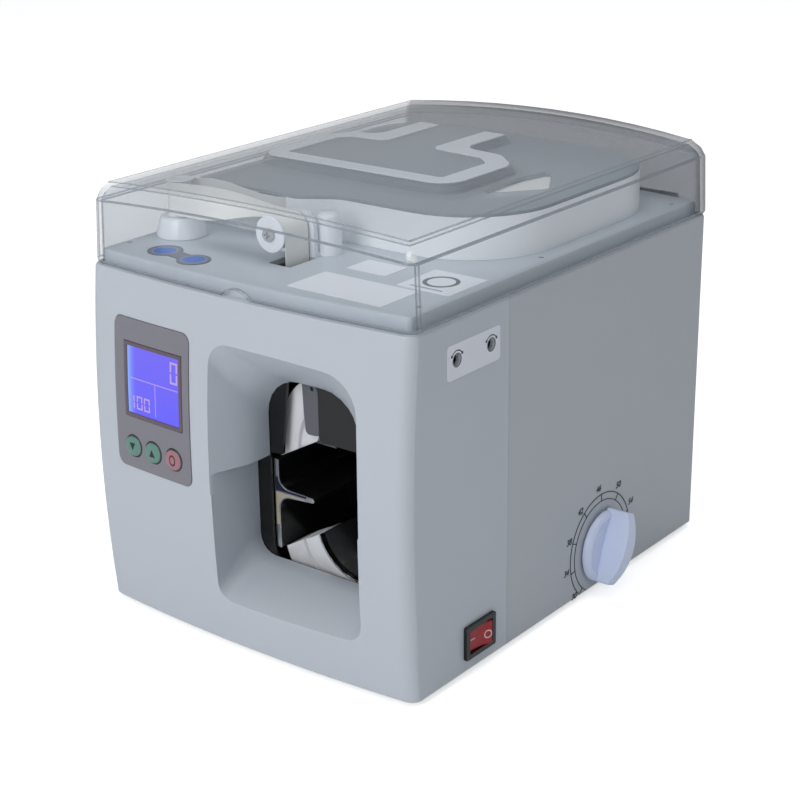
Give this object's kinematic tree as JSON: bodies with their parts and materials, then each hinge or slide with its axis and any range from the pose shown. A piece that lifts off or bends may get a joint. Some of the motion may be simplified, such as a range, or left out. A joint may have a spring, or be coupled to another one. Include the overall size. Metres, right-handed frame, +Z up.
{
  "type": "banknote strapping machine",
  "caption": "Bench machine that wraps paper tape round a bundle of banknotes put into its front slot, with a tape reel under a clear hinged cover.",
  "frame": {"origin": "centre of the overall box in X and Y, on the table plane under the rubber feet", "axes": "+X to the side with the knob and power switch, +Y to the rear, +Z up"},
  "size_m": [0.261, 0.3396, 0.2725],
  "materials": {
    "shell_front": "light grey moulded shell with a fine texture",
    "shell_rear": "light grey powder coat",
    "base_metal": "plain zinc-grey plate",
    "foot_rubber": "soft black rubber",
    "deck": "warm grey powder coat",
    "clear_cover": "clear moulded acrylic, polished",
    "steel": "bright turned steel",
    "panel_grey": "dark grey overlay",
    "frame_silver": "silver painted trim",
    "lens_blue": "backlit blue window",
    "display_blue": "blue display face in a dark bezel",
    "board_green": "green solder-masked board",
    "key_green": "grey-green key cap",
    "key_pink": "muted pink key cap",
    "black_plastic": "black moulding with a satin gloss",
    "track_white": "white low-friction plastic",
    "edge_silver": "thin bright edge",
    "grey_plastic": "mid grey moulding",
    "cast_grey": "milled grey alloy",
    "brass_gear": "machined brass",
    "motor_grey": "dark grey motor can",
    "dark_metal": "dark satin paint",
    "knob_white": "white gloss knob",
    "print_dark": "printed dark grey lines",
    "label_pale": "pale bare label",
    "adjust_cream": "cream adjuster",
    "rocker_red": "dark red rocker",
    "tub_white": "off-white moulding",
    "lid_smoke": "smoked clear lid",
    "band_grey": "light grey frosted band",
    "hub_white": "white hub",
    "tape_paper": "white kraft paper tape",
    "post_white": "white polished guide",
    "pad_grey": "grey printed pad with blue ovals",
    "label_white": "bare white label",
    "roller_rubber": "black drive rubber",
    "blade_steel": "ground blade",
    "coil_yellow": "taped coil",
    "heater_tan": "fired heater block",
    "core_brown": "varnished core and coil"
  },
  "bodies": {
    "machine": {"front_shell": "shell_front", "rear_housing": "shell_rear", "base_plate": "base_metal", "feet": "foot_rubber", "top_deck": "deck", "hinge_pins": "steel", "panel_plate": "panel_grey", "window_frame": "frame_silver", "display_lens": "lens_blue", "display_module": "display_blue", "panel_board": "board_green", "slot_liner": "black_plastic", "strap_track": "track_white", "track_edge": "edge_silver", "track_funnel": "black_plastic", "track_shutter": "grey_plastic", "guide_rods": "steel", "tongue_motor": "motor_grey", "dial_scale": "print_dark", "side_label": "label_pale", "adjuster_board": "board_green", "switch_body": "black_plastic", "power_inlet": "black_plastic", "reel_housing": "tub_white", "reel_lid": "lid_smoke", "lid_band": "band_grey", "guide_post": "post_white", "guide_bracket": "post_white", "roller_screw": "steel", "tape_strip": "tape_paper", "deck_pad": "pad_grey", "deck_labels": "label_white", "mech_frame": "cast_grey", "feed_bracket": "cast_grey", "feed_motor": "motor_grey", "cutter_solenoid": "coil_yellow", "heater_block": "heater_tan", "main_board": "board_green", "transformer": "core_brown"},
    "cover": {"dust_cover": "clear_cover"},
    "key_down_body": {"key_down": "key_green"},
    "key_up_body": {"key_up": "key_green"},
    "key_clear_body": {"key_clear": "key_pink"},
    "rocker": {"switch_rocker": "rocker_red"},
    "knob_body": {"knob": "knob_white", "knob_shaft": "steel"},
    "stop": {"note_stop": "dark_metal"},
    "pinion": {"tongue_pinion": "brass_gear"},
    "tongue_body": {"tongue": "black_plastic", "tongue_face": "edge_silver", "tongue_carriage": "cast_grey"},
    "reel": {"reel_hub": "hub_white", "tape_roll": "tape_paper"},
    "sleeve": {"post_sleeve": "post_white"},
    "guide_wheel": {"guide_roller": "post_white"},
    "feed": {"feed_roller": "roller_rubber"},
    "idler": {"idler_roller": "steel"},
    "cutter": {"cutter_blade": "blade_steel"},
    "adjuster_a": {"adjuster_front": "adjust_cream"},
    "adjuster_b": {"adjuster_rear": "adjust_cream"}
  },
  "joints": [
    {"name": "cover_hinge", "type": "hinge", "parent": "machine", "child": "cover", "pos_m": [0, 0.16525, 0.221], "axis": [-1, 0, 0], "range_deg": [0, 90]},
    {"name": "key_down_press", "type": "slide", "parent": "machine", "child": "key_down_body", "axis": [0, 1, 0], "range_m": [0, 0.0012], "stiffness_N_per_m": 1200, "springref_m": -0.0003},
    {"name": "key_up_press", "type": "slide", "parent": "machine", "child": "key_up_body", "axis": [0, 1, 0], "range_m": [0, 0.0012], "stiffness_N_per_m": 1200, "springref_m": -0.0003},
    {"name": "key_clear_press", "type": "slide", "parent": "machine", "child": "key_clear_body", "axis": [0, 1, 0], "range_m": [0, 0.0012], "stiffness_N_per_m": 1200, "springref_m": -0.0003},
    {"name": "power_switch", "type": "hinge", "parent": "machine", "child": "rocker", "pos_m": [0.1065, -0.09725, 0.022], "axis": [0, 0, 1], "range_deg": [0, 20]},
    {"name": "knob_turn", "type": "hinge", "parent": "machine", "child": "knob_body", "pos_m": [0.1145, 0.03395, 0.0301], "axis": [1, 0, 0], "range_deg": [-83.8, 158]},
    {"name": "note_stop_slide", "type": "slide", "parent": "machine", "child": "stop", "axis": [0, 1, 0], "range_m": [-0.0183, 0.0097]},
    {"name": "tongue_drive", "type": "hinge", "parent": "machine", "child": "pinion", "pos_m": [-0.0405, -0.03975, 0.143], "axis": [0, 1, 0], "range_deg": [0, 133.8]},
    {"name": "tongue_slide", "type": "slide", "parent": "machine", "child": "tongue_body", "axis": [-1, 0, 0], "range_m": [0, 0.028]},
    {"name": "reel_spin", "type": "hinge", "parent": "machine", "child": "reel", "pos_m": [0.0115, 0.03825, 0.24], "axis": [0, 0, 1], "continuous": true},
    {"name": "post_spin", "type": "hinge", "parent": "machine", "child": "sleeve", "pos_m": [-0.1055, -0.10375, 0.25], "axis": [0, 0, 1], "continuous": true},
    {"name": "guide_spin", "type": "hinge", "parent": "machine", "child": "guide_wheel", "pos_m": [-0.02025, -0.10805, 0.245], "axis": [0, 1, 0], "continuous": true},
    {"name": "feed_spin", "type": "hinge", "parent": "machine", "child": "feed", "pos_m": [-0.002, -0.10775, 0.19], "axis": [0, 1, 0], "continuous": true},
    {"name": "idler_spin", "type": "hinge", "parent": "machine", "child": "idler", "pos_m": [-0.019, -0.10775, 0.19], "axis": [0, 1, 0], "continuous": true},
    {"name": "cutter_stroke", "type": "slide", "parent": "machine", "child": "cutter", "axis": [-1, 0, 0], "range_m": [0, 0.004], "stiffness_N_per_m": 400, "springref_m": -0.002},
    {"name": "adjust_front", "type": "hinge", "parent": "machine", "child": "adjuster_a", "pos_m": [0.1015, -0.11835, 0.1962], "axis": [1, 0, 0], "range_deg": [-135, 135]},
    {"name": "adjust_rear", "type": "hinge", "parent": "machine", "child": "adjuster_b", "pos_m": [0.1015, -0.08655, 0.1962], "axis": [1, 0, 0], "range_deg": [-135, 135]}
  ],
  "couplings": [
    {"joint": "knob_turn", "follows": "note_stop_slide", "rad_per_m": -150.6},
    {"joint": "tongue_drive", "follows": "tongue_slide", "rad_per_m": 83.333},
    {"joint": "idler_spin", "follows": "feed_spin", "ratio": -1}
  ]
}
